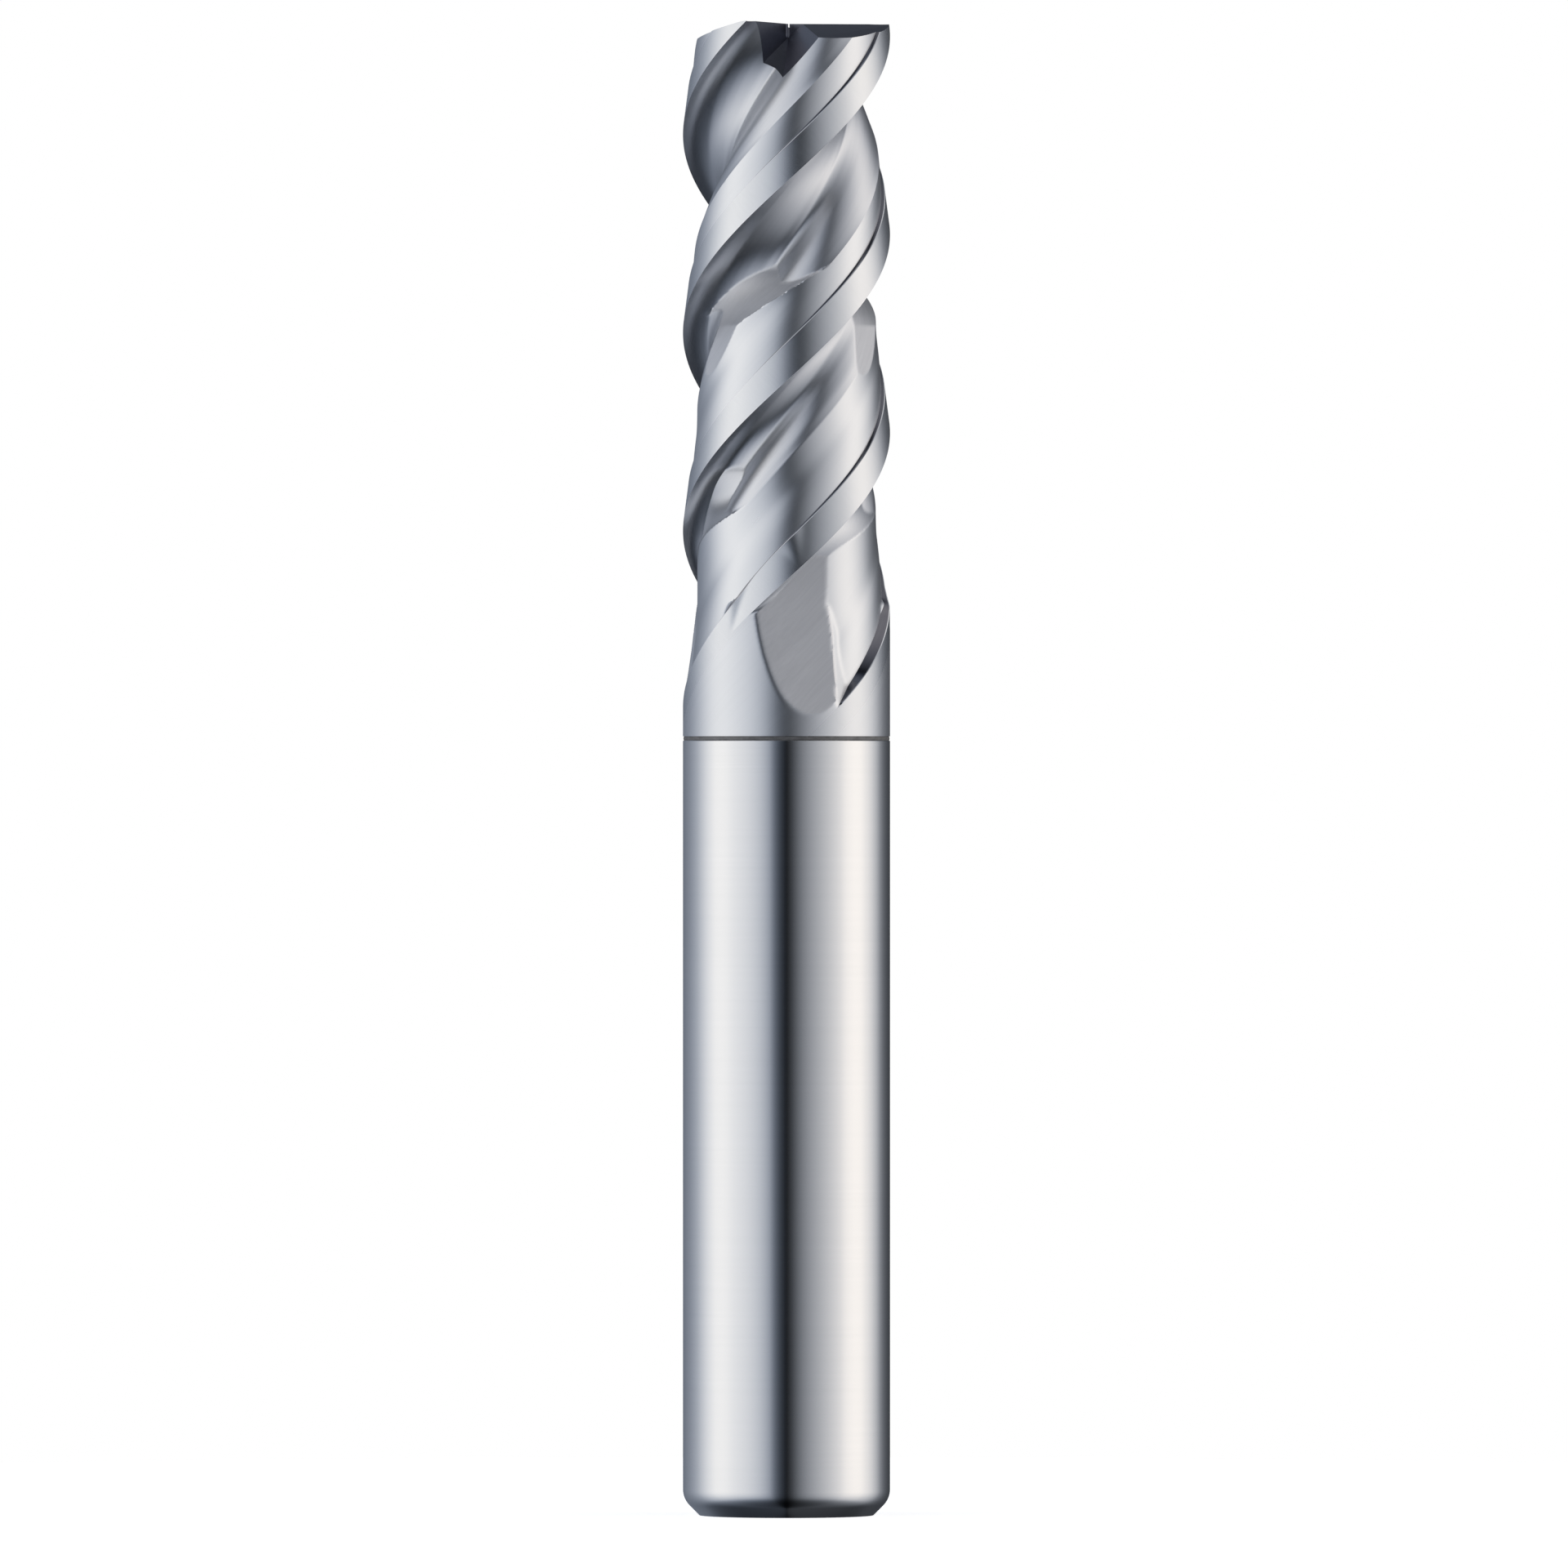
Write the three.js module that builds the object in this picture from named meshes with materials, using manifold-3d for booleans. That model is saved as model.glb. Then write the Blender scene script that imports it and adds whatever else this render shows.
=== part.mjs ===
// Three-flute square end mill: a fluted cutting head brazed onto a plain ground shank.
// Millimetres, +Z from the clamped end of the shank up to the cutting tip.
// Azimuths are measured from the front (-Y) towards +X, seen from the side of the tip.

import * as THREE from 'three';
import { mergeVertices } from 'three/addons/utils/BufferGeometryUtils.js';
import Module from 'manifold-3d';

const wasm = await Module();
wasm.setup();

// ---- Driving dimensions ---------------------------------------------------------------------

const overallLength = 72;
const diameter = 10;
const radius = diameter / 2;

const shankChamfer = 0.8;
const jointHeight = 37.4;
const brazeThickness = 0.2;
const spigotDiameter = 5;
const spigotDepth = 6;
const spigotBrazeGap = 0.1;
const spigotChamfer = 0.4;

const fluteCount = 3;
const toothPitch = 360 / fluteCount;
const helixLead = 28.7;
const degreesPerMm = 360 / helixLead;
const firstEdgeAzimuthAtTip = -22.6;

const landRelief = 0.0021;
const hookAngle = 2;

// The step behind the land, as [height, degrees back from the cutting edge].
const stepTop = [[38.9, 13], [41.6, 14], [43.8, 16.5], [45.5, 21.5], [47, 23], [55, 23], [72, 20.5]];
const stepFoot = [[38.9, 14.2], [41.6, 19], [43.8, 20.5], [45.5, 23], [47, 24.2], [55, 24.2], [72, 21.7]];

// The clearance and back behind the step, as [degrees back from the edge, drop below the radius].
const backDrop = [
  [20, 0.08], [30, 0.09], [38, 0.1], [44, 0.11], [54, 0.128], [65, 0.136], [120, 0.138],
];

// Lowest heights reached by the passes of the grinding wheel.
const clearanceEnd = 38.9;
const fluteEnd = 38.6;
const deepFluteEnd = 54.7;

const stationSpacing = 0.7;
const roundSegments = 64;
const smallestEdge = 0.005;
const cutterReach = 8;
const endWeb = 0.05;

// ---- Small helpers --------------------------------------------------------------------------

const radians = THREE.MathUtils.degToRad;
const smoothstep = THREE.MathUtils.smoothstep;

/** A point at an azimuth, at a distance from the axis and at a height. */
function polarPoint(azimuth, distance, height) {
  const angle = radians(azimuth);
  return new THREE.Vector3(distance * Math.sin(angle), -distance * Math.cos(angle), height);
}

/** Azimuth of a tooth's cutting edge at a height; the helix is right-handed. */
function edgeAzimuth(tooth, height) {
  return firstEdgeAzimuthAtTip + tooth * toothPitch - (overallLength - height) * degreesPerMm;
}

/** Evenly spaced heights from one height to another, both included. */
function stations(from, to, spacing = stationSpacing) {
  const steps = Math.ceil((to - from) / spacing);
  return Array.from({ length: steps + 1 }, (_, i) => from + ((to - from) * i) / steps);
}

/** Straight-line interpolation in a list of [position, value] pairs. */
function interpolate(pairs, position) {
  const after = pairs.findIndex(([at]) => at >= position);
  if (after <= 0) return after === 0 ? pairs[0][1] : pairs.at(-1)[1];
  const [x0, y0] = pairs[after - 1];
  const [x1, y1] = pairs[after];
  return y0 + ((y1 - y0) * (position - x0)) / (x1 - x0);
}

/** A closed body through a stack of rings of equal length, each counter-clockwise from above. */
function sweptBody(rings) {
  const count = rings[0].length;
  const indices = [];
  for (let level = 0; level + 1 < rings.length; level++) {
    for (let i = 0; i < count; i++) {
      const here = level * count + i;
      const next = level * count + ((i + 1) % count);
      indices.push(here, next, next + count, here, next + count, here + count);
    }
  }
  const flat = (ring) => ring.map((p) => new THREE.Vector2(p.x, p.y));
  const top = (rings.length - 1) * count;
  for (const [a, b, c] of THREE.ShapeUtils.triangulateShape(flat(rings[0]), [])) {
    indices.push(a, c, b);
  }
  for (const [a, b, c] of THREE.ShapeUtils.triangulateShape(flat(rings.at(-1)), [])) {
    indices.push(top + a, top + b, top + c);
  }
  const geometry = new THREE.BufferGeometry();
  geometry.setFromPoints(rings.flat());
  geometry.setIndex(indices);
  return geometry;
}

/** A turned body from [radius, height] corners that start and end on the axis. */
function turnedBody(corners) {
  const points = corners.map(([r, z]) => new THREE.Vector2(r, z));
  const geometry = new THREE.LatheGeometry(points, roundSegments);
  geometry.rotateX(Math.PI / 2);
  return geometry;
}

function toManifold(geometry) {
  const bare = geometry.clone();
  bare.deleteAttribute('normal');
  bare.deleteAttribute('uv');
  const welded = mergeVertices(bare, 1e-5);
  const vertProperties = new Float32Array(welded.getAttribute('position').array);
  const triVerts = new Uint32Array(welded.getIndex().array);
  return new wasm.Manifold(new wasm.Mesh({ numProp: 3, vertProperties, triVerts }));
}

function fromManifold(solid) {
  const mesh = solid.getMesh();
  const geometry = new THREE.BufferGeometry();
  geometry.setAttribute('position', new THREE.BufferAttribute(mesh.vertProperties, 3));
  geometry.setIndex(new THREE.BufferAttribute(mesh.triVerts, 1));
  geometry.computeVertexNormals();
  return geometry;
}

/** The main body of a solid, without the crumbs and hairline edges left where cuts cross. */
function largestBody(solid) {
  const bodies = solid.simplify(smallestEdge).decompose();
  return bodies.reduce((best, body) => (body.volume() > best.volume() ? body : best));
}

// ---- Cutting head ---------------------------------------------------------------------------

// Flute floors, as [degrees ahead of the cutting edge, share of the radius].
const shallowFloor = [
  [0, 0.81], [4, 0.76], [10, 0.727], [17, 0.716], [24, 0.74], [32, 0.79], [40, 0.835],
  [50, 0.872], [60, 0.94], [70, 1.3],
];
const deepFloor = [
  [0, 0.8], [4, 0.74], [9, 0.69], [15, 0.65], [22, 0.62], [30, 0.6], [38, 0.597], [44, 0.62],
  [50, 0.67], [57, 0.74], [64, 0.8], [70, 0.843], [77, 0.89], [84, 0.95], [92, 1.3],
];

// Distance of the wheel's rim from the axis against height, for its three passes. The rim faces
// a fixed azimuth up to the top of the facet it leaves; above that it follows the helix and
// turns a little further ahead.
const shallowRim = { azimuth: 14, facetTop: 46.2, leadIn: 24, distances: [
  [fluteEnd, 1], [39.6, 0.955], [40.8, 0.915], [42, 0.882], [43.4, 0.855], [45, 0.84],
  [46.2, 0.84], [47.5, 0.8], [49, 0.745], [50.5, 0.71], [52, 0.5], [53, 0],
] };
const deepRim = { azimuth: -183, facetTop: 57.4, leadIn: 6, distances: [
  [deepFluteEnd, 0.875], [55.8, 0.83], [57.4, 0.75], [58.6, 0.68], [60, 0.6], [61, 0.5], [62, 0],
] };
const clearanceRim = { azimuth: -69, facetTop: 44, leadIn: 0, distances: [
  [clearanceEnd, 0.934], [41.6, 0.857], [43, 0.822], [44, 0.78], [44.8, 0.68], [45.6, 0.4],
  [46.4, 0],
] };
const leadInLength = 3.5;
const uncut = 2;

// The flat that ends the relief of the land on the first tooth.
const reliefEnd = { azimuth: -356.7, facing: -373, distance: 0.944, blend: 2 };

/** Distance from the axis of a flat that faces an azimuth, as far round as it can cut. */
function flatDistance(distance, azimuth, facing) {
  const away = Math.cos(radians(azimuth - facing));
  return away > 0.1 ? distance / away : uncut;
}

/** Distance of a wheel's rim from the axis, seen from a tooth's own azimuth ahead of its edge. */
function rimDistance(rim, tooth, ahead, height) {
  if (height < rim.distances[0][0]) return uncut;
  const turn = Math.max(0, height - rim.facetTop) * degreesPerMm;
  const leadIn = rim.leadIn * smoothstep(height, rim.facetTop, rim.facetTop + leadInLength);
  const facing = rim.azimuth + tooth * toothPitch + turn + leadIn;
  const distance = interpolate(rim.distances, height);
  return flatDistance(distance, edgeAzimuth(tooth, height) + ahead, facing);
}

/** Distance of the relieved land from the axis, as a share of the radius. */
function landDistance(back, height) {
  const azimuth = edgeAzimuth(0, height) - back;
  const relieved = 1 - landRelief * back;
  const flat = flatDistance(reliefEnd.distance, azimuth, reliefEnd.facing);
  const ended = Math.min(1, Math.max(relieved, flat));
  const start = reliefEnd.azimuth;
  const share = smoothstep(azimuth, start - reliefEnd.blend, start + reliefEnd.blend);
  return THREE.MathUtils.lerp(ended, relieved, share);
}

/** Distance of the clearance and back from the axis, before the flutes are cut. */
function clearanceDistance(back, height) {
  const rim = rimDistance(clearanceRim, 0, -back, height);
  return Math.min(1, Math.max(1 - interpolate(backDrop, back), rim));
}

/** Distance of a flute from the axis: its floor, or the facet its wheel leaves behind. */
function fluteDistance(floor, rim, tooth, ahead, height) {
  const below = Math.max(0, rim.facetTop - height) * degreesPerMm;
  return Math.max(interpolate(floor, ahead - below), rimDistance(rim, tooth, ahead, height));
}

/** Distance of the finished surface from the axis, from a rake face to the next tooth's step. */
function headDistance(tooth, ahead, height) {
  return Math.min(
    clearanceDistance(toothPitch - ahead, height),
    fluteDistance(shallowFloor, shallowRim, tooth, ahead, height),
    fluteDistance(deepFloor, deepRim, tooth, ahead, height));
}

/** One cross-section of the head: rake face, flute floor, back, clearance and land, thrice. */
function headRing(height) {
  const floor = [3, 7, 12, 18, 24, 29, 33, 38, 44, 50, 56, 62, 69, 77, 85];
  const heelFoot = interpolate(stepFoot, height);
  const heelTop = interpolate(stepTop, height);
  const ring = [];
  for (let tooth = 0; tooth < fluteCount; tooth++) {
    const edge = edgeAzimuth(tooth, height);
    const depth = 1 - headDistance(tooth, floor[0], height);
    ring.push(polarPoint(edge, radius, height));
    for (const share of [0.3, 0.65]) {
      const hook = Math.min(1, depth / 0.2) * hookAngle * Math.sin(Math.PI * share);
      const ahead = floor[0] * share * share - hook;
      ring.push(polarPoint(edge + ahead, radius * (1 - depth * share), height));
    }
    for (const ahead of [...floor, toothPitch - heelFoot]) {
      ring.push(polarPoint(edge + ahead, radius * headDistance(tooth, ahead, height), height));
    }
    for (const back of [heelTop, heelTop / 2]) {
      const distance = radius * landDistance(back, height);
      ring.push(polarPoint(edge + toothPitch - back, distance, height));
    }
  }
  return ring;
}

/** A body along an end edge, from its (across, height) outline at the start to the rim's. */
function endCutter(tooth, outline, start) {
  const azimuth = edgeAzimuth(tooth, overallLength);
  const direction = polarPoint(azimuth, 1, 0);
  const across = polarPoint(azimuth + 90, 1, 0);
  const place = (along) => outline(along).map(([side, height]) =>
    direction.clone().multiplyScalar(along).addScaledVector(across, side).setZ(height));
  const near = place(start);
  const far = place(cutterReach);
  const count = near.length;
  const indices = [];
  for (let i = 0; i < count; i++) {
    const next = (i + 1) % count;
    indices.push(i, next, next + count, i, next + count, i + count);
  }
  const flat = outline(cutterReach).map(([side, height]) => new THREE.Vector2(side, height));
  for (const [a, b, c] of THREE.ShapeUtils.triangulateShape(flat, [])) {
    indices.push(a, c, b, a + count, b + count, c + count);
  }
  const geometry = new THREE.BufferGeometry();
  geometry.setFromPoints([...near, ...far]);
  geometry.setIndex(indices);
  return toManifold(geometry);
}

/** The end relief behind one end cutting edge: a narrow primary and a steeper secondary. */
function endClearance(tooth) {
  const landing = 0.35;
  const landingDrop = landing * Math.tan(radians(5));
  const slope = Math.tan(radians(13));
  const outline = [
    [endWeb, overallLength + 1],
    [-cutterReach, overallLength + 1],
    [-cutterReach, overallLength - landingDrop - slope * (cutterReach - landing)],
    [endWeb - landing, overallLength - landingDrop],
    [endWeb, overallLength],
  ];
  return endCutter(tooth, () => outline, 0);
}

/** The gash ahead of one end cutting edge: an upright face, a floor and a far wall. */
function endGash(tooth) {
  const start = overallLength - 0.7;
  const top = overallLength + 1;
  const footSlope = 0.42;
  const bottomSlope = 0.6;
  const bottomTurn = 0.33;
  const wallSlope = 0.8;
  const outline = (along) => {
    const bottom = start - bottomSlope * along;
    const foot = start - footSlope * along;
    const bottomAcross = 2 * endWeb + bottomTurn * along;
    const wallAcross = bottomAcross + (top - bottom) / wallSlope;
    return [[endWeb, top], [endWeb, foot], [bottomAcross, bottom], [wallAcross, top]];
  };
  return endCutter(tooth, outline, -0.12);
}

/** The fluted head with its locating spigot below the joint. */
function makeCuttingHead() {
  const bottom = jointHeight + brazeThickness;
  const heights = [bottom, ...stations(fluteEnd, overallLength)];
  let head = toManifold(sweptBody(heights.map(headRing)));
  for (let tooth = 0; tooth < fluteCount; tooth++) {
    head = head.subtract(endClearance(tooth)).subtract(endGash(tooth));
  }
  const spigotRadius = spigotDiameter / 2;
  const spigot = toManifold(turnedBody([
    [0, jointHeight - spigotDepth],
    [spigotRadius - spigotChamfer, jointHeight - spigotDepth],
    [spigotRadius, jointHeight - spigotDepth + spigotChamfer],
    [spigotRadius, bottom + 0.5],
    [0, bottom + 0.5],
  ]));
  return fromManifold(largestBody(head.add(spigot)));
}

// ---- Joint and shank ------------------------------------------------------------------------

/** The thin film of braze metal: a flange at the shoulder and a cup round the spigot. */
function makeBrazeFilm() {
  const spigotRadius = spigotDiameter / 2;
  const socketRadius = spigotRadius + spigotBrazeGap;
  const spigotEnd = jointHeight - spigotDepth;
  const socketEnd = spigotEnd - spigotBrazeGap;
  return turnedBody([
    [0, socketEnd],
    [socketRadius - spigotChamfer, socketEnd],
    [socketRadius, socketEnd + spigotChamfer],
    [socketRadius, jointHeight],
    [radius, jointHeight],
    [radius, jointHeight + brazeThickness],
    [spigotRadius, jointHeight + brazeThickness],
    [spigotRadius, spigotEnd + spigotChamfer],
    [spigotRadius - spigotChamfer, spigotEnd],
    [0, spigotEnd],
  ]);
}

/** The ground cylindrical shank with a chamfered end and a blind socket for the spigot. */
function makeShank() {
  const socketRadius = spigotDiameter / 2 + spigotBrazeGap;
  const socketEnd = jointHeight - spigotDepth - spigotBrazeGap;
  return turnedBody([
    [0, 0],
    [radius - shankChamfer, 0],
    [radius, shankChamfer],
    [radius, jointHeight],
    [socketRadius, jointHeight],
    [socketRadius, socketEnd + spigotChamfer],
    [socketRadius - spigotChamfer, socketEnd],
    [0, socketEnd],
  ]);
}

// ---- Assembly -------------------------------------------------------------------------------

function namedMesh(name, geometry, colour, roughness, metalness) {
  const material = new THREE.MeshStandardMaterial({ color: colour, roughness, metalness });
  const mesh = new THREE.Mesh(geometry, material);
  mesh.name = name;
  return mesh;
}

const group = new THREE.Group();
group.name = 'end_mill';
group.add(
  namedMesh('cutting_head', makeCuttingHead(), 0xa9adb5, 0.32, 1),
  namedMesh('braze_film', makeBrazeFilm(), 0x4b4843, 0.6, 0.8),
  namedMesh('shank', makeShank(), 0xd4d3d0, 0.18, 1),
);

export default group;
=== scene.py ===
"""Looks of the end mill: fine meshes, ground-metal materials, studio light and camera."""

import math
from collections import namedtuple

import bmesh
import bpy
import numpy as np
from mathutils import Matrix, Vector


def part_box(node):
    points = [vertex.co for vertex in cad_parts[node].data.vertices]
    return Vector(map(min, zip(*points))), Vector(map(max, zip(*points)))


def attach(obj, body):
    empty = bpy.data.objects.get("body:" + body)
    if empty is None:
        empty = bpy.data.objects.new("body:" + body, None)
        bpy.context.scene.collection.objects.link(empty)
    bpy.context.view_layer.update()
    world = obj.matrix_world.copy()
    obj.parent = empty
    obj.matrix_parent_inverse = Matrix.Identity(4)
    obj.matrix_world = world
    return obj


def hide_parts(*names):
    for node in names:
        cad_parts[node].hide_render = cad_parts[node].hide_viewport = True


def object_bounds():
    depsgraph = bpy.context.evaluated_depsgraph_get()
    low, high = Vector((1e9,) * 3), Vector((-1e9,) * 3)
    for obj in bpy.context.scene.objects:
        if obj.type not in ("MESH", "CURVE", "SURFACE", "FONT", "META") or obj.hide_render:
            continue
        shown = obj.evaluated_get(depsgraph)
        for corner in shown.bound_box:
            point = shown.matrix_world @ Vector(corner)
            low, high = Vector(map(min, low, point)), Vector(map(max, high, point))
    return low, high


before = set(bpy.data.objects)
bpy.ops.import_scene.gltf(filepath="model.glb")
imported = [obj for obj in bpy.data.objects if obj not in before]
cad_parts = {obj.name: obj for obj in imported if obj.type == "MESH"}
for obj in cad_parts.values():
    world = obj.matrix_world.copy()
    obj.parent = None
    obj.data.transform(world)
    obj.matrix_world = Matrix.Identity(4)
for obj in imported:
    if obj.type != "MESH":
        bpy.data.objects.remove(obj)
size_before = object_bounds()

MM = 0.001


def corners_in_mm(box):
    """The lowest and the highest corner of a box from the frame, in millimetres."""
    return [[round(value / MM, 3) for value in corner] for corner in box]


tool_top = corners_in_mm(size_before)[1]
head_foot = corners_in_mm(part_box("cutting_head"))[0]
braze_top = corners_in_mm(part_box("braze_film"))[1]
shank_top = corners_in_mm(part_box("shank"))[1]

# Main sizes, in millimetres and degrees. Those of the pieces come from the frame, and the rest
# are as in the CAD. An azimuth is counted from the front, and FIRST_EDGE is that of the first
# tooth's cutting edge at the tip.
LENGTH = tool_top[2]
RADIUS = tool_top[0]
JOINT = shank_top[2]
COLLAR = braze_top[2]
SPIGOT_END = head_foot[2]
SPIGOT_RADIUS = 2.5
SPIGOT_CHAMFER = 0.4
SOCKET_GAP = 0.1
SHANK_CHAMFER = 0.8
TEETH = 3
PITCH = 360.0 / TEETH
LEAD = 28.7
TURN = 360.0 / LEAD
FIRST_EDGE = -22.6

# From here on, distances from the axis and depths are shares of the radius.

# The land: its relief per degree back from the edge, and the narrow chamfer along its heel.
LAND_RELIEF = 0.0021
HEEL_WIDTH = 0.4
HEEL_DROP = 0.008
HEEL_SHARE_OF_STEP = 0.3

# The rake face: how many degrees it hollows where it is deep enough, and where it ends.
HOOK = 2.0
HOOK_DEPTH = 0.2
RAKE_END = 3.0

# Where the clearance, the shallow flute and the deep flute end, as heights.
CLEARANCE_END = 38.9
FLUTE_END = 38.6
DEEP_END = 54.7

# Top and foot of the step behind the land: height against degrees back from the edge.
STEP_TOP = [
    (CLEARANCE_END, 13), (41.6, 14), (43.8, 16.5), (45.5, 21.5), (47, 23), (55, 23), (72, 20.5),
]
STEP_FOOT = [
    (CLEARANCE_END, 13.8), (41.6, 19), (43.8, 20.5), (45.5, 23), (47, 24.2), (55, 24.2),
    (72, 21.7),
]

# Clearance and back behind the step: degrees back from the edge against drop.
BACK_DROP = [
    (20, 0.08), (30, 0.09), (38, 0.1), (44, 0.11), (54, 0.128), (65, 0.136), (120, 0.138),
]

# Flute floors: degrees ahead of the cutting edge against distance.
SHALLOW_FLOOR = [
    (0, 0.81), (4, 0.76), (10, 0.727), (17, 0.716), (24, 0.74), (32, 0.79), (40, 0.835),
    (50, 0.872), (60, 0.94), (70, 1.3),
]
DEEP_FLOOR = [
    (0, 0.8), (4, 0.74), (9, 0.69), (15, 0.65), (22, 0.62), (30, 0.6), (38, 0.597),
    (44, 0.62), (50, 0.67), (57, 0.74), (64, 0.8), (70, 0.843), (77, 0.89), (84, 0.95), (92, 1.3),
]

# Rim of the grinding wheel in its three passes: the azimuth that its facet on the first tooth
# faces, the top of that facet, how far the rim turns ahead above it, and height against distance.
Rim = namedtuple("Rim", "azimuth facet_top lead_in profile")
SHALLOW_RIM = Rim(14.0, 46.2, 24.0, [
    (FLUTE_END, 1), (39.6, 0.955), (40.8, 0.915), (42, 0.882), (43.4, 0.855), (45, 0.84),
    (46.2, 0.84), (47.5, 0.8), (49, 0.745), (50.5, 0.71), (52, 0.5), (53, 0),
])
DEEP_RIM = Rim(-183.0, 57.4, 6.0, [
    (DEEP_END, 0.875), (55.8, 0.83), (57.4, 0.75), (58.6, 0.68), (60, 0.6), (61, 0.5), (62, 0),
])
CLEARANCE_RIM = Rim(-69.0, 44.0, 0.0, [
    (CLEARANCE_END, 0.934), (41.6, 0.857), (43, 0.822), (44, 0.78), (44.8, 0.68), (45.6, 0.4),
    (46.4, 0),
])
LEAD_IN_HEIGHT = 3.5

# The flat that ends the relief of the land: the azimuths where it starts and that it faces, its
# distance, and the degrees over which it blends in.
RELIEF_END_START = -356.7
RELIEF_END_FACING = -373.0
RELIEF_END_DISTANCE = 0.944
RELIEF_BLEND = 8.0

# A distance past every surface, and the least cosine at which a plane is still reached.
UNCUT = 2.0
GRAZING = 0.1

# Depths below which the rake face and the side of the step are finished like the land.
LEAST_RAKE = 0.001
LEAST_STEP = 0.004

# Allowance for rounding where the land meets the step, in degrees.
ROUNDING_ERROR = 1e-9

# How finely the meshes are made: points in each part of a tooth's section, rows in millimetres.
RAKE_POINTS = 8
FLOOR_POINTS = 90
LAND_POINTS = 14
CREASE_SAMPLES = 24
ROW_STEP = 0.1
ROUND_POINTS = 256
SHANK_ROWS = 12
ROUNDING_ROWS = 9

# Which cut made a point of the head.
BLANK, SHALLOW_CUT, SHALLOW_FACET, DEEP_CUT, DEEP_FACET = range(5)

# Finishes of the head, in the order of its materials. The step's finish is near black as painted
# shade.
LAND, CLEARANCE, FLUTE, FACET, STEP, END = range(6)

# End teeth, in millimetres, degrees and slopes. A web this wide stays round the axis.
WEB = 0.05
END_REACH = 8.0
PRIMARY_WIDTH = 0.35
PRIMARY_ANGLE = 5
SECONDARY_ANGLE = 13
GASH_DEPTH = 0.7
GASH_START = -0.12
GASH_FOOT_SLOPE = 0.42
GASH_BOTTOM_SLOPE = 0.6
GASH_BOTTOM_TURN = 0.33
GASH_WALL_SLOPE = 0.8
CLEAR_OF_END = 1.0

# Radius of the flat middle that closes a turned body at the axis.
AXIS_RADIUS = 0.4

# Surroundings: their strength, and their brightness against the azimuth away from the front, to
# either side, and against the upward part of the direction, from straight down to straight up.
LIGHT = 1.13
LEFT_LIGHT = [
    (0, 0.012), (6, 0.057), (12, 0.15), (21, 0.43), (39, 0.69), (59, 0.82), (81, 0.91),
    (94, 0.82), (108, 0.63), (125, 0.4), (149, 0.25), (180, 0.18),
]
RIGHT_LIGHT = [
    (0, 0.012), (6, 0.06), (12, 0.14), (19, 0.24), (26, 0.33), (43, 0.53), (53, 0.65),
    (63, 0.78), (74, 0.93), (86, 0.97), (99, 0.86), (114, 0.61), (125, 0.37), (133, 0.21),
    (149, 0.09), (180, 0.06),
]
UP_LIGHT = [
    (-1, 0.05), (-0.8, 0.12), (-0.45, 0.7), (-0.2, 0.92), (0, 1), (0.5, 1), (1, 0.5),
]


# ---- Shape of the head ----------------------------------------------------------------------


def smoothstep(value, low, high):
    """A smooth rise from 0 at the low value to 1 at the high value."""
    share = np.clip((value - low) / (high - low), 0, 1)
    return share * share * (3 - 2 * share)


def smooth_curve(pairs):
    """A smooth function through points, as a cubic with slopes taken from the neighbours."""
    x = np.array([p[0] for p in pairs], float)
    y = np.array([p[1] for p in pairs], float)
    chord = np.diff(y) / np.diff(x)
    slope = np.concatenate([[chord[0]], (chord[1:] + chord[:-1]) / 2, [chord[-1]]])
    flat = np.concatenate([[False], chord[1:] * chord[:-1] <= 0, [False]])
    slope[flat] = 0

    def curve(at):
        at = np.clip(np.asarray(at, float), x[0], x[-1])
        i = np.clip(np.searchsorted(x, at) - 1, 0, len(x) - 2)
        step = x[i + 1] - x[i]
        t = (at - x[i]) / step
        return (
            (1 + 2 * t) * (1 - t) ** 2 * y[i]
            + t * (1 - t) ** 2 * step * slope[i]
            + t * t * (3 - 2 * t) * y[i + 1]
            + t * t * (t - 1) * step * slope[i + 1]
        )

    return curve


step_top = smooth_curve(STEP_TOP)
step_foot = smooth_curve(STEP_FOOT)
back_drop = smooth_curve(BACK_DROP)
shallow_floor = smooth_curve(SHALLOW_FLOOR)
deep_floor = smooth_curve(DEEP_FLOOR)
shallow_rim = smooth_curve(SHALLOW_RIM.profile)
deep_rim = smooth_curve(DEEP_RIM.profile)
clearance_rim = smooth_curve(CLEARANCE_RIM.profile)


def edge_azimuth(tooth, height):
    """Azimuth of a tooth's cutting edge at a height, in degrees from the front."""
    return FIRST_EDGE + tooth * PITCH - (LENGTH - height) * TURN


def plane_distance(distance, degrees_off):
    """Distance to a plane in a direction so many degrees off the one that the plane faces."""
    reach = np.cos(np.radians(degrees_off))
    return np.where(reach > GRAZING, distance / np.maximum(reach, GRAZING), UNCUT)


def rim_distance(rim, curve, tooth, ahead, height):
    """Distance to the plane that the wheel's rim cuts at a height."""
    first_height = rim.profile[0][0]
    if height < first_height:
        return np.full_like(ahead, UNCUT)
    facing = rim.azimuth + tooth * PITCH + max(0.0, height - rim.facet_top) * TURN
    facing += rim.lead_in * smoothstep(height, rim.facet_top, rim.facet_top + LEAD_IN_HEIGHT)
    return plane_distance(curve(height), edge_azimuth(tooth, height) + ahead - facing)


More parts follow.
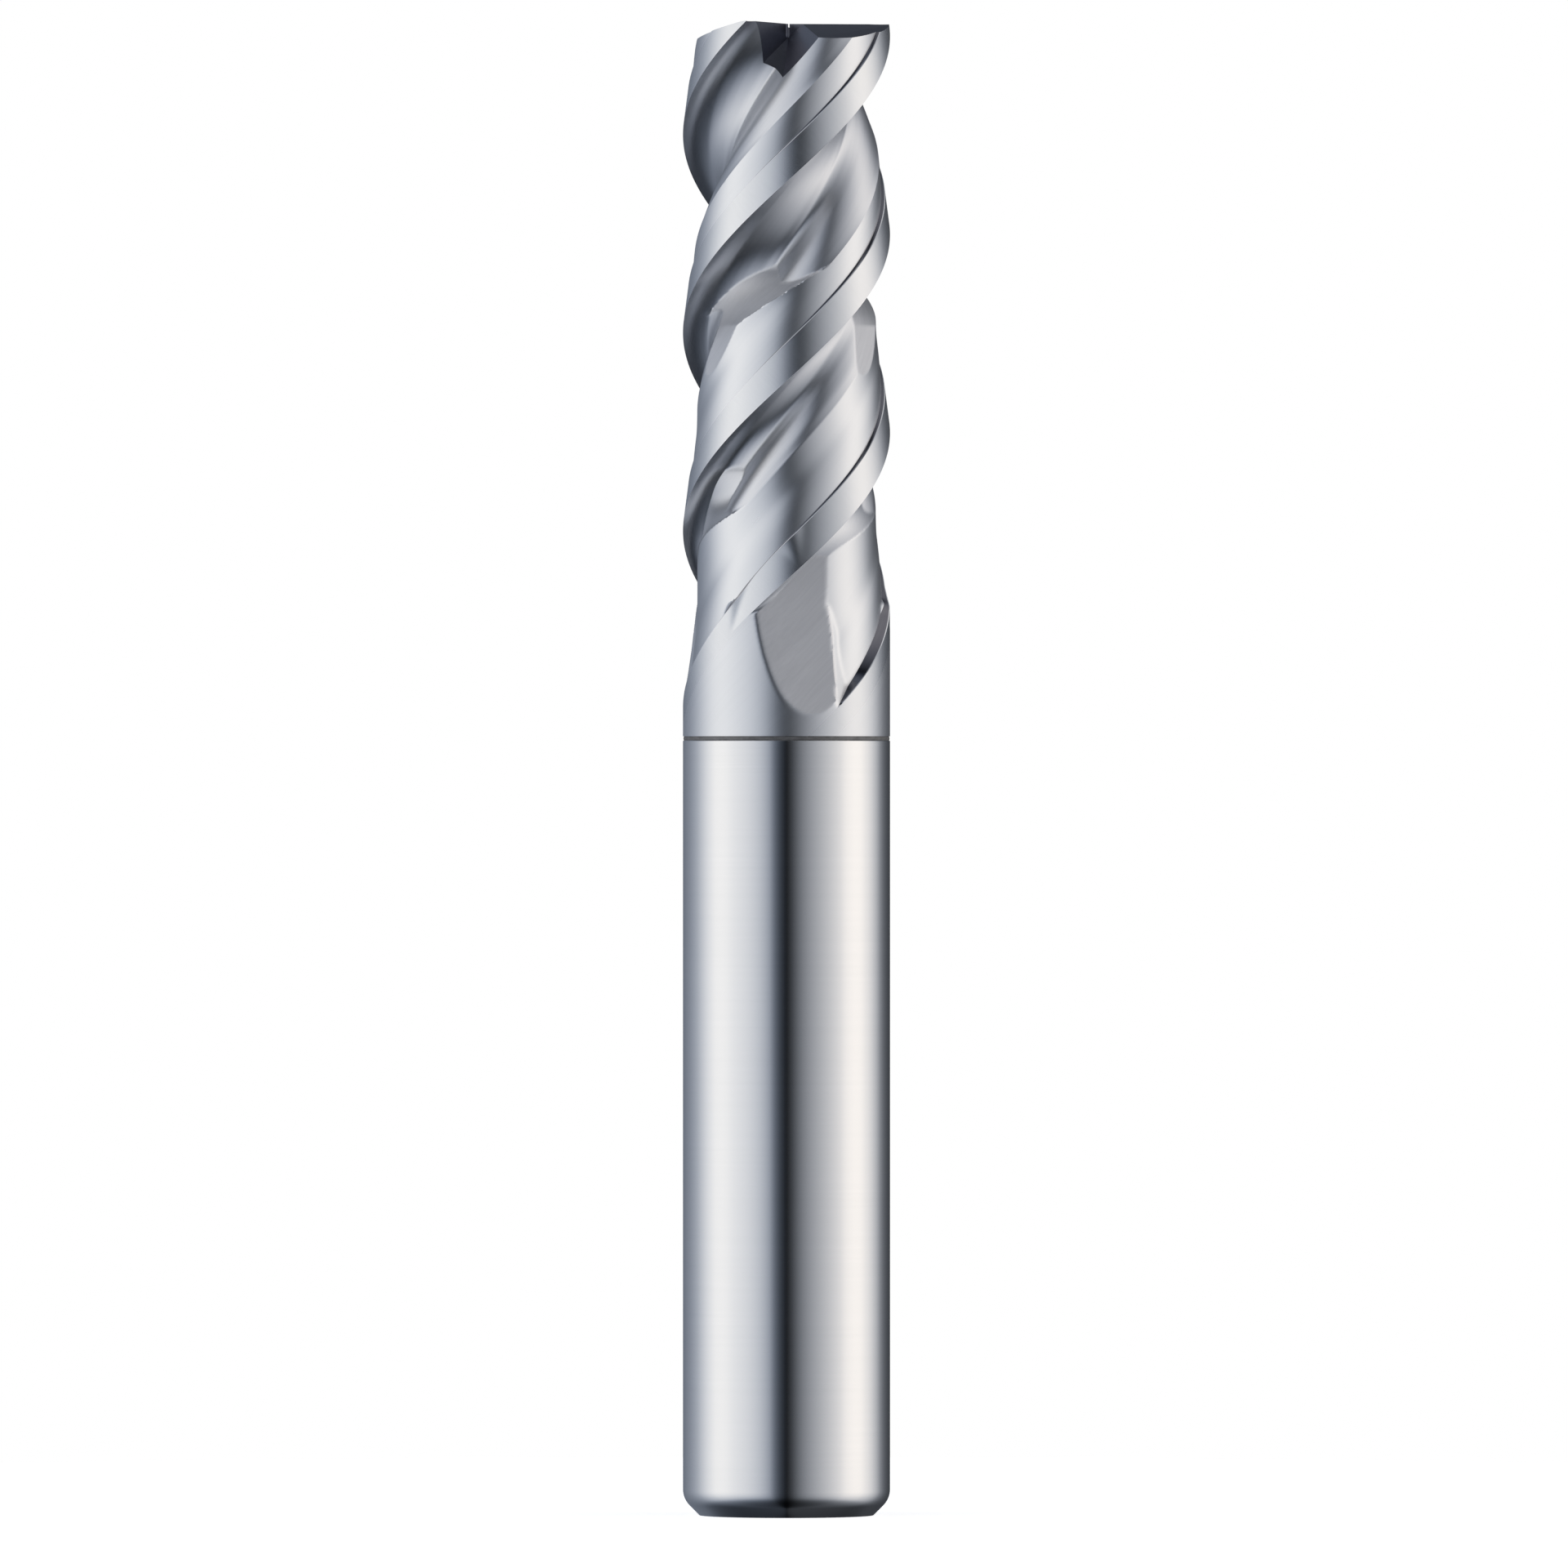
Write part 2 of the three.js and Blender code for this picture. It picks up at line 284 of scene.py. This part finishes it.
def tooth_distance(back, height):
    """Distance of the surface behind a cutting edge before fluting."""
    azimuth = edge_azimuth(0, height) - back
    relieved = 1 - LAND_RELIEF * back
    flat = plane_distance(RELIEF_END_DISTANCE, azimuth - RELIEF_END_FACING)
    ended = np.minimum(1, np.maximum(relieved, flat))
    above_end = smoothstep(
        azimuth, RELIEF_END_START - RELIEF_BLEND, RELIEF_END_START + RELIEF_BLEND
    )
    land = ended + (relieved - ended) * above_end
    rim = rim_distance(CLEARANCE_RIM, clearance_rim, 0, -back, height)
    cleared = np.minimum(1, np.maximum(1 - back_drop(back), rim))
    return np.where(back <= step_top(height) + ROUNDING_ERROR, land, cleared)


def head_surface(tooth, ahead, height):
    """Distance of the finished surface, and which cut made it."""
    blank = tooth_distance(PITCH - ahead, height)
    floor = shallow_floor(ahead - max(0.0, SHALLOW_RIM.facet_top - height) * TURN)
    rim = rim_distance(SHALLOW_RIM, shallow_rim, tooth, ahead, height)
    low_floor = deep_floor(ahead - max(0.0, DEEP_RIM.facet_top - height) * TURN)
    low_rim = rim_distance(DEEP_RIM, deep_rim, tooth, ahead, height)
    shallow = np.maximum(floor, rim)
    deep = np.maximum(low_floor, low_rim)
    distance = np.minimum(blank, np.minimum(shallow, deep))
    made_by = np.select(
        [blank <= distance, shallow <= distance],
        [BLANK, np.where(rim > floor, SHALLOW_FACET, SHALLOW_CUT)],
        np.where(low_rim > low_floor, DEEP_FACET, DEEP_CUT),
    )
    return distance, made_by


def onto_creases(tooth, ahead, height):
    """The same points, with the nearest one moved onto each crease between two cuts."""
    _, made_by = head_surface(tooth, ahead, height)
    for i in np.nonzero(np.diff(made_by))[0]:
        if 0 < i < len(ahead) - 2:
            fine = np.linspace(ahead[i], ahead[i + 1], CREASE_SAMPLES)
            _, fine_made_by = head_surface(tooth, fine, height)
            crease = fine[np.argmax(fine_made_by != fine_made_by[0])]
            nearest = i if crease - ahead[i] < ahead[i + 1] - crease else i + 1
            ahead[nearest] = crease
    return ahead


def floor_finish(made_by, height):
    """Finish of each point between the rake face and the foot of the step."""
    shallow_facet = (made_by == SHALLOW_FACET) & (height <= SHALLOW_RIM.facet_top)
    finish = np.where(shallow_facet | (made_by == DEEP_FACET), FACET, FLUTE)
    finish[made_by == BLANK] = CLEARANCE
    return finish


def section(tooth, height):
    """One tooth's share of a cross-section: degrees ahead, distances and a finish per span."""
    top = PITCH - step_top(height)
    foot = PITCH - step_foot(height)
    floor = onto_creases(tooth, np.linspace(RAKE_END, foot, FLOOR_POINTS), height)
    floor_distance, made_by = head_surface(tooth, floor, height)
    depth = 1 - floor_distance[0]
    share = np.linspace(0, 1, RAKE_POINTS, endpoint=False)
    hook = min(1.0, depth / HOOK_DEPTH) * HOOK * np.sin(np.pi * share)
    rake = floor[0] * share * share - hook
    rake_distance = 1 - depth * share
    land = np.linspace(top, PITCH, LAND_POINTS, endpoint=False)
    land_distance = tooth_distance(PITCH - land, height)
    step_depth = land_distance[0] - floor_distance[-1]
    heel = top - min(HEEL_WIDTH, (top - foot) / 2)
    heel_distance = land_distance[0] - min(HEEL_DROP, HEEL_SHARE_OF_STEP * step_depth)
    rake_finish = FLUTE if depth > LEAST_RAKE else LAND
    # A deep enough step gets the near-black painted shade; a shallower one stays shiny like the land.
    step_finish = STEP if step_depth > LEAST_STEP else LAND
    return (
        np.concatenate([rake, floor, [heel], land]),
        np.concatenate([rake_distance, floor_distance, [heel_distance], land_distance]),
        np.concatenate([
            np.full(RAKE_POINTS, rake_finish),
            floor_finish(made_by, height)[:-1],
            [step_finish, LAND],
            np.full(LAND_POINTS, LAND),
        ]),
    )


def head_ring(height):
    """Points of a whole cross-section of the head, with a finish for each span."""
    points, finishes = [], []
    for tooth in range(TEETH):
        ahead, distance, finish = section(tooth, height)
        angle = np.radians(edge_azimuth(tooth, height) + ahead)
        x = RADIUS * distance * np.sin(angle)
        y = -RADIUS * distance * np.cos(angle)
        points.append(np.stack([x, y, np.full_like(x, height)], axis=1))
        finishes.append(finish)
    return np.concatenate(points), np.concatenate(finishes)


def round_ring(like, radius, height):
    """A circle with as many points as another ring, starting at the same azimuth."""
    start = math.atan2(like[0, 0], -like[0, 1])
    angle = np.linspace(start, start + 2 * math.pi, len(like), endpoint=False)
    x = radius * np.sin(angle)
    y = -radius * np.cos(angle)
    return np.stack([x, y, np.full_like(x, height)], axis=1)


# ---- Bodies ---------------------------------------------------------------------------------


def mesh_object(name, points, faces, finishes=None):
    """A new object from points in millimetres, with a material number for each face."""
    mesh = bpy.data.meshes.new(name)
    mesh.from_pydata((np.asarray(points) * MM).tolist(), [], [list(f) for f in faces])
    if finishes is not None:
        mesh.polygons.foreach_set("material_index", np.asarray(finishes, np.int32))
    mesh.validate()
    obj = bpy.data.objects.new(name, mesh)
    bpy.context.scene.collection.objects.link(obj)
    return obj


def stack_rings(name, rings, finishes=None):
    """A closed body through rings of equal length, from the bottom up, with flat ends."""
    count = len(rings[0])
    levels = len(rings) - 1
    here = np.arange(count)
    after = np.roll(here, -1)
    quads = np.stack([here, after, after + count, here + count], axis=1)
    faces = [tuple(face) for level in range(levels) for face in quads + level * count]
    faces.append(tuple(here[::-1]))
    faces.append(tuple(here + levels * count))
    face_finishes = None
    if finishes is not None:
        face_finishes = np.concatenate([*finishes[:levels], [LAND, FACET]])
    return mesh_object(name, np.concatenate(rings), faces, face_finishes)


def end_cutter(name, tooth, outline, start):
    """A body along an end edge, from its (across, height) outline at the start to the rim's."""
    angle = math.radians(edge_azimuth(tooth, LENGTH))
    direction = np.array([math.sin(angle), -math.cos(angle), 0])
    across = np.array([math.cos(angle), math.sin(angle), 0])
    points = [
        direction * along + across * side + (0, 0, height)
        for along in (start, END_REACH)
        for side, height in outline(along)
    ]
    count = len(points) // 2
    faces = [(i, (i + 1) % count, (i + 1) % count + count, i + count) for i in range(count)]
    faces += [tuple(range(count))[::-1], tuple(range(count, 2 * count))]
    return mesh_object(name, points, faces)


def end_clearance(tooth):
    """The end relief behind one end cutting edge: a narrow primary and a steeper secondary."""
    top = LENGTH + CLEAR_OF_END
    primary_foot = LENGTH - PRIMARY_WIDTH * math.tan(math.radians(PRIMARY_ANGLE))
    slope = math.tan(math.radians(SECONDARY_ANGLE))
    secondary_foot = primary_foot - slope * (END_REACH - PRIMARY_WIDTH)

    def outline(along):
        return [
            (WEB, top),
            (-END_REACH, top),
            (-END_REACH, secondary_foot),
            (WEB - PRIMARY_WIDTH, primary_foot),
            (WEB, LENGTH),
        ]

    return end_cutter("end_clearance", tooth, outline, 0)


def end_gash(tooth):
    """The gash ahead of one end cutting edge: an upright face, a floor and a far wall."""
    top = LENGTH + CLEAR_OF_END

    def outline(along):
        foot = LENGTH - GASH_DEPTH - GASH_FOOT_SLOPE * along
        bottom = LENGTH - GASH_DEPTH - GASH_BOTTOM_SLOPE * along
        bottom_across = 2 * WEB + GASH_BOTTOM_TURN * along
        wall_across = bottom_across + (top - bottom) / GASH_WALL_SLOPE
        return [(WEB, top), (WEB, foot), (bottom_across, bottom), (wall_across, top)]

    return end_cutter("end_gash", tooth, outline, GASH_START)


def face_outwards(mesh):
    """Turns all the faces of a closed mesh to face outwards."""
    work = bmesh.new()
    work.from_mesh(mesh)
    bmesh.ops.recalc_face_normals(work, faces=work.faces)
    work.to_mesh(mesh)
    work.free()


def cut(obj, cutters):
    """Subtracts each cutter from the object, gives its faces the end finish, and removes it."""
    for cutter in cutters:
        face_outwards(cutter.data)
        for material in obj.data.materials:
            cutter.data.materials.append(material)
        cutter.data.polygons.foreach_set("material_index", [END] * len(cutter.data.polygons))
        modifier = obj.modifiers.new("cut", "BOOLEAN")
        modifier.operation = "DIFFERENCE"
        modifier.solver = "MANIFOLD"
        modifier.object = cutter
        bpy.context.view_layer.update()
        graph = bpy.context.evaluated_depsgraph_get()
        mesh = bpy.data.meshes.new_from_object(obj.evaluated_get(graph))
        obj.modifiers.clear()
        obj.data = mesh
        bpy.data.objects.remove(cutter)


def shade_smooth(obj, crease):
    """Smooth shading, with sharp edges where faces meet at more degrees than the crease."""
    obj.data.polygons.foreach_set("use_smooth", [True] * len(obj.data.polygons))
    obj.data.set_sharp_from_angle(angle=math.radians(crease))


def make_head(materials):
    """The cutting head: fluted from the collar up, with its spigot below."""
    heights = np.linspace(COLLAR, LENGTH, round((LENGTH - COLLAR) / ROW_STEP) + 1)
    rings, finishes = zip(*(head_ring(height) for height in heights))
    first = rings[0]
    spigot = [
        round_ring(first, SPIGOT_RADIUS - SPIGOT_CHAMFER, SPIGOT_END),
        round_ring(first, SPIGOT_RADIUS, SPIGOT_END + SPIGOT_CHAMFER),
        round_ring(first, SPIGOT_RADIUS, COLLAR),
    ]
    plain = [np.full(len(first), LAND)] * len(spigot)
    head = stack_rings("cutting_head_fine", [*spigot, *rings], [*plain, *finishes])
    for material in materials:
        head.data.materials.append(material)
    for tooth in range(TEETH):
        cut(head, [end_clearance(tooth), end_gash(tooth)])
    shade_smooth(head, crease=22)
    return head


def turned(name, corners):
    """A turned body from its (radius, height) corners, of which the first and last are caps."""
    angle = np.linspace(0, 2 * math.pi, ROUND_POINTS, endpoint=False)
    rings = [
        np.stack([r * np.cos(angle), r * np.sin(angle), np.full(ROUND_POINTS, z)], axis=1)
        for r, z in corners
    ]
    return stack_rings(name, rings)


def make_shank():
    """The shank: a chamfered foot that blends into its side, and a socket for the spigot."""
    socket = SPIGOT_RADIUS + SOCKET_GAP
    socket_end = SPIGOT_END - SOCKET_GAP
    blend = 1.1
    turn = math.radians(45)
    blend_top = SHANK_CHAMFER + blend * math.tan(turn / 2)
    side_foot = 3.0
    edge = 0.03
    rounding = [
        (RADIUS - blend * (1 - math.cos(a)), blend_top - blend * math.sin(a))
        for a in np.linspace(turn, 0, ROUNDING_ROWS)
    ]
    side = [(RADIUS, z) for z in np.linspace(side_foot, JOINT - edge, SHANK_ROWS)]
    shank = turned("shank_fine", [
        (AXIS_RADIUS, 0),
        (RADIUS - SHANK_CHAMFER, 0),
        *rounding,
        *side,
        (RADIUS - edge, JOINT),
        (socket, JOINT),
        (socket, socket_end + SPIGOT_CHAMFER),
        (socket - SPIGOT_CHAMFER, socket_end),
        (AXIS_RADIUS, socket_end),
    ])
    shade_smooth(shank, crease=30)
    return shank


def make_braze():
    """The braze: a flange between head and shank, a little recessed, and a cup round the spigot."""
    socket = SPIGOT_RADIUS + SOCKET_GAP
    socket_end = SPIGOT_END - SOCKET_GAP
    recess = 0.025
    rounding = 0.3 * (COLLAR - JOINT)
    braze = turned("braze_film_fine", [
        (AXIS_RADIUS, socket_end),
        (socket - SPIGOT_CHAMFER, socket_end),
        (socket, socket_end + SPIGOT_CHAMFER),
        (socket, JOINT),
        (RADIUS - 2 * recess, JOINT),
        (RADIUS - recess, JOINT + rounding),
        (RADIUS - recess, COLLAR - rounding),
        (RADIUS - 2 * recess, COLLAR),
        (SPIGOT_RADIUS, COLLAR),
        (SPIGOT_RADIUS, SPIGOT_END + SPIGOT_CHAMFER),
        (SPIGOT_RADIUS - SPIGOT_CHAMFER, SPIGOT_END),
        (AXIS_RADIUS, SPIGOT_END),
    ])
    shade_smooth(braze, crease=40)
    return braze


# ---- Materials ------------------------------------------------------------------------------


class Graph:
    """Short names for building the nodes of a material or of the world."""

    # Places of a mix node's colour sockets, whose names it shares with its other kinds.
    MIX_SHARE, MIX_LOW, MIX_HIGH, MIX_RESULT = 0, 6, 7, 2

    def __init__(self, tree):
        self.nodes = tree.nodes
        self.links = tree.links

    def set(self, socket, value):
        """Links a socket to another, or gives it a value of its own."""
        if isinstance(value, bpy.types.NodeSocket):
            self.links.new(value, socket)
        else:
            socket.default_value = value

    def node(self, kind, inputs):
        """A new node with its inputs linked or set by name."""
        node = self.nodes.new(kind)
        for name, value in inputs.items():
            self.set(node.inputs[name], value)
        return node

    def math(self, operation, a, b=0.0):
        """The result of one sum."""
        node = self.nodes.new("ShaderNodeMath")
        node.operation = operation
        self.set(node.inputs[0], a)
        self.set(node.inputs[1], b)
        return node.outputs[0]

    def average(self, a, b, share_of_a):
        """A weighted average of two values."""
        weighted_a = self.math("MULTIPLY", a, share_of_a)
        weighted_b = self.math("MULTIPLY", b, 1 - share_of_a)
        return self.math("ADD", weighted_a, weighted_b)

    def colour(self, share, low, high):
        """A colour between two others, each of them three numbers or another node's."""
        node = self.nodes.new("ShaderNodeMix")
        node.data_type = "RGBA"
        self.set(node.inputs[self.MIX_SHARE], share)
        for place, value in ((self.MIX_LOW, low), (self.MIX_HIGH, high)):
            from_node = isinstance(value, bpy.types.NodeSocket)
            self.set(node.inputs[place], value if from_node else (*value, 1))
        return node.outputs[self.MIX_RESULT]

    def gradient(self, value, pairs):
        """A smooth curve through (value, result) pairs."""
        first, last = pairs[0][0], pairs[-1][0]
        share = self.node("ShaderNodeMapRange", {"Value": value, "From Min": first, "From Max": last})
        node = self.node("ShaderNodeFloatCurve", {"Value": share.outputs[0]})
        curve = node.mapping.curves[0]
        points = [((x - first) / (last - first), y) for x, y in pairs]
        for point, place in zip(curve.points, (points[0], points[-1])):
            point.location = place
        for x, y in points[1:-1]:
            curve.points.new(x, y)
        node.mapping.update()
        return node.outputs[0]


class MaterialGraph(Graph):
    """The nodes of a new material."""

    def __init__(self, name, metallic):
        self.material = bpy.data.materials.new(name)
        self.material.use_nodes = True
        super().__init__(self.material.node_tree)
        self.shader = self.nodes["Principled BSDF"]
        self.surface("Metallic", metallic)

    def surface(self, name, value):
        """Sets one input of the shader."""
        self.set(self.shader.inputs[name], value)

    def millimetres(self):
        """The place on the object, in millimetres."""
        place = self.nodes.new("ShaderNodeTexCoord").outputs["Object"]
        node = self.nodes.new("ShaderNodeVectorMath")
        node.operation = "SCALE"
        self.set(node.inputs[0], place)
        self.set(node.inputs["Scale"], 1 / MM)
        return node.outputs[0]

    def stretched(self, vector, scale):
        """The vector with each part scaled on its own."""
        node = self.nodes.new("ShaderNodeVectorMath")
        node.operation = "MULTIPLY"
        self.set(node.inputs[0], vector)
        self.set(node.inputs[1], scale)
        return node.outputs[0]

    def untwisted(self, vector, degrees_per_mm):
        """The vector turned back about the axis, so that the helix runs straight up."""
        height = self.node("ShaderNodeSeparateXYZ", {"Vector": vector}).outputs["Z"]
        angle = self.math("MULTIPLY", height, -math.radians(degrees_per_mm))
        node = self.node("ShaderNodeVectorRotate", {"Vector": vector})
        node.rotation_type = "Z_AXIS"
        self.set(node.inputs["Angle"], angle)
        return node.outputs[0]

    def noise(self, vector, scale=1.0, detail=3.0, roughness=0.6):
        """Cloudy noise from 0 to 1."""
        inputs = {"Vector": vector, "Scale": scale, "Detail": detail, "Roughness": roughness}
        return self.node("ShaderNodeTexNoise", inputs).outputs["Fac"]

    def between(self, share, low, high):
        """A number between two others."""
        inputs = {"Value": share, "To Min": low, "To Max": high}
        return self.node("ShaderNodeMapRange", inputs).outputs[0]

    def bump(self, height, distance):
        """Raises the surface by up to the distance, in metres, where the height is 1."""
        node = self.node("ShaderNodeBump", {"Height": height, "Distance": distance})
        self.surface("Normal", node.outputs[0])


def ground_metal(name, dark, light, roughness, lines, twist=0, depth=0.0006):
    """Metal with grinding lines, faint wear and cloudy variation of its shine.

    The lines are noise of so many cells per millimetre along x, y and z, twisted by so many
    degrees per millimetre, and so many millimetres deep.
    """
    graph = MaterialGraph(name, metallic=1.0)
    place = graph.millimetres()
    along = graph.untwisted(place, twist) if twist else place
    broad_lines = [0.2 * cells for cells in lines]
    fine = graph.noise(graph.stretched(along, lines), detail=4.0, roughness=0.65)
    broad = graph.noise(graph.stretched(along, broad_lines), detail=2.0)
    cloud = graph.noise(place, scale=0.35)
    wear = graph.average(fine, broad, share_of_a=0.6)
    shine = graph.average(wear, cloud, share_of_a=0.5)
    graph.surface("Base Color", graph.colour(wear, dark, light))
    graph.surface("Roughness", graph.between(shine, *roughness))
    graph.bump(fine, depth * MM)
    return graph.material


def head_materials():
    """The finishes of the head, in the order of their numbers."""
    along_helix = (9.0, 9.0, 0.35)
    land = ground_metal(
        "ground_land", dark=(0.73, 0.74, 0.75), light=(0.81, 0.82, 0.83), roughness=(0.2, 0.3),
        lines=(6.0, 6.0, 0.6), twist=-TURN,
    )
    clearance = ground_metal(
        "ground_clearance", dark=(0.76, 0.77, 0.78), light=(0.84, 0.85, 0.86),
        roughness=(0.24, 0.34), lines=along_helix, twist=TURN,
    )
    flute = ground_metal(
        "polished_flute", dark=(0.66, 0.67, 0.69), light=(0.78, 0.79, 0.81),
        roughness=(0.26, 0.38), lines=along_helix, twist=TURN,
    )
    facet = ground_metal(
        "ground_facet", dark=(0.66, 0.66, 0.67), light=(0.92, 0.92, 0.93), roughness=(0.35, 0.5),
        lines=(5.0, 5.0, 0.3), twist=TURN, depth=0.003,
    )
    # Painted shade: the side of the step is the same carbide as the land, coloured near black to
    # stand in for the darkness it shows from how the light falls.
    step = ground_metal(
        "step_painted_shade", dark=(0.12, 0.12, 0.14), light=(0.2, 0.2, 0.22), roughness=(0.12, 0.2),
        lines=along_helix, twist=TURN,
    )
    # Painted shade: the end faces are the same carbide as the land, given a much darker colour for
    # the darkness they show facing up and back, away from the light.
    end = ground_metal(
        "end_painted_shade", dark=(0.17, 0.18, 0.22), light=(0.28, 0.28, 0.32), roughness=(0.25, 0.35),
        lines=(6.0, 6.0, 6.0),
    )
    return [land, clearance, flute, facet, step, end]


def shank_material():
    """Bright ground steel, with its lines round the shank."""
    return ground_metal(
        "ground_steel", dark=(0.82, 0.82, 0.81), light=(0.9, 0.89, 0.88), roughness=(0.08, 0.13),
        lines=(0.15, 0.15, 14.0), depth=0.0003,
    )


def braze_material():
    """Dull, stained braze."""
    return ground_metal(
        "silver_braze", dark=(0.06, 0.06, 0.06), light=(0.5, 0.49, 0.48), roughness=(0.5, 0.75),
        lines=(2.5, 2.5, 5.0), depth=0.02,
    )


# ---- Studio ---------------------------------------------------------------------------------


def floor_material():
    """Pale board that shines a little, so that it stays as pale as the backdrop."""
    graph = MaterialGraph("studio_floor", metallic=0.0)
    cloud = graph.noise(graph.millimetres(), scale=0.02)
    graph.surface("Base Color", graph.colour(cloud, (0.9,) * 3, (0.94,) * 3))
    graph.surface("Roughness", 0.8)
    graph.surface("Emission Color", (1, 1, 1, 1))
    graph.surface("Emission Strength", 0.7)
    return graph.material


def make_floor():
    """A round floor, which the metal neither mirrors nor takes light from."""
    bpy.ops.mesh.primitive_circle_add(vertices=96, radius=0.09, fill_type="NGON")
    floor = bpy.context.object
    floor.name = "studio_floor"
    floor.data.materials.append(floor_material())
    floor.visible_glossy = False
    floor.visible_diffuse = False


def make_world():
    """Soft surroundings that light the tool, seen as plain white."""
    world = bpy.data.worlds.new("studio")
    bpy.context.scene.world = world
    world.use_nodes = True
    world.node_tree.nodes.clear()
    graph = Graph(world.node_tree)
    direction = graph.nodes.new("ShaderNodeTexCoord").outputs["Generated"]
    x, y, z = graph.node("ShaderNodeSeparateXYZ", {"Vector": direction}).outputs
    azimuth = graph.math("ARCTAN2", x, graph.math("MULTIPLY", y, -1))
    off_front = graph.math("DEGREES", graph.math("ABSOLUTE", azimuth))
    is_right = graph.math("GREATER_THAN", x, 0.0)
    is_left = graph.math("SUBTRACT", 1.0, is_right)
    right = graph.math("MULTIPLY", graph.gradient(off_front, RIGHT_LIGHT), is_right)
    left = graph.math("MULTIPLY", graph.gradient(off_front, LEFT_LIGHT), is_left)
    level = graph.math("MULTIPLY", graph.math("ADD", right, left), graph.gradient(z, UP_LIGHT))
    shade = graph.colour(is_right, (0.62, 0.75, 1.0), (0.77, 0.85, 1.0))
    bright = graph.colour(is_right, (1.0, 0.99, 0.98), (1.0, 0.96, 0.93))
    surroundings = graph.node("ShaderNodeBackground", {
        "Color": graph.colour(level, shade, bright),
        "Strength": graph.math("MULTIPLY", level, LIGHT),
    })
    backdrop = graph.node("ShaderNodeBackground", {"Color": (1, 1, 1, 1)})
    is_seen = graph.nodes.new("ShaderNodeLightPath").outputs["Is Camera Ray"]
    shown = graph.nodes.new("ShaderNodeMixShader")
    for socket, value in zip(shown.inputs, (is_seen, surroundings.outputs[0], backdrop.outputs[0])):
        graph.set(socket, value)
    graph.node("ShaderNodeOutputWorld", {"Surface": shown.outputs[0]})


def make_camera():
    """A long lens level with the tool, square to its front."""
    framed_width = 75.7 * MM
    framed_middle = (-0.12 * MM, 35.3 * MM)
    data = bpy.data.cameras.new("camera")
    data.sensor_width = 36
    data.lens = 500
    data.clip_end = 10
    camera = bpy.data.objects.new("camera", data)
    bpy.context.scene.collection.objects.link(camera)
    distance = framed_width / data.sensor_width * data.lens
    camera.location = (framed_middle[0], -distance, framed_middle[1])
    camera.rotation_euler = (math.pi / 2, 0, 0)
    bpy.context.scene.camera = camera


# ---- Assembly -------------------------------------------------------------------------------

head = make_head(head_materials())
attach(head, "root")
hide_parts("cutting_head")

shank = make_shank()
shank.data.materials.append(shank_material())
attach(shank, "root")
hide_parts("shank")

braze = make_braze()
braze.data.materials.append(braze_material())
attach(braze, "root")
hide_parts("braze_film")

make_floor()
make_world()
make_camera()
bpy.context.scene.view_settings.view_transform = "Standard"
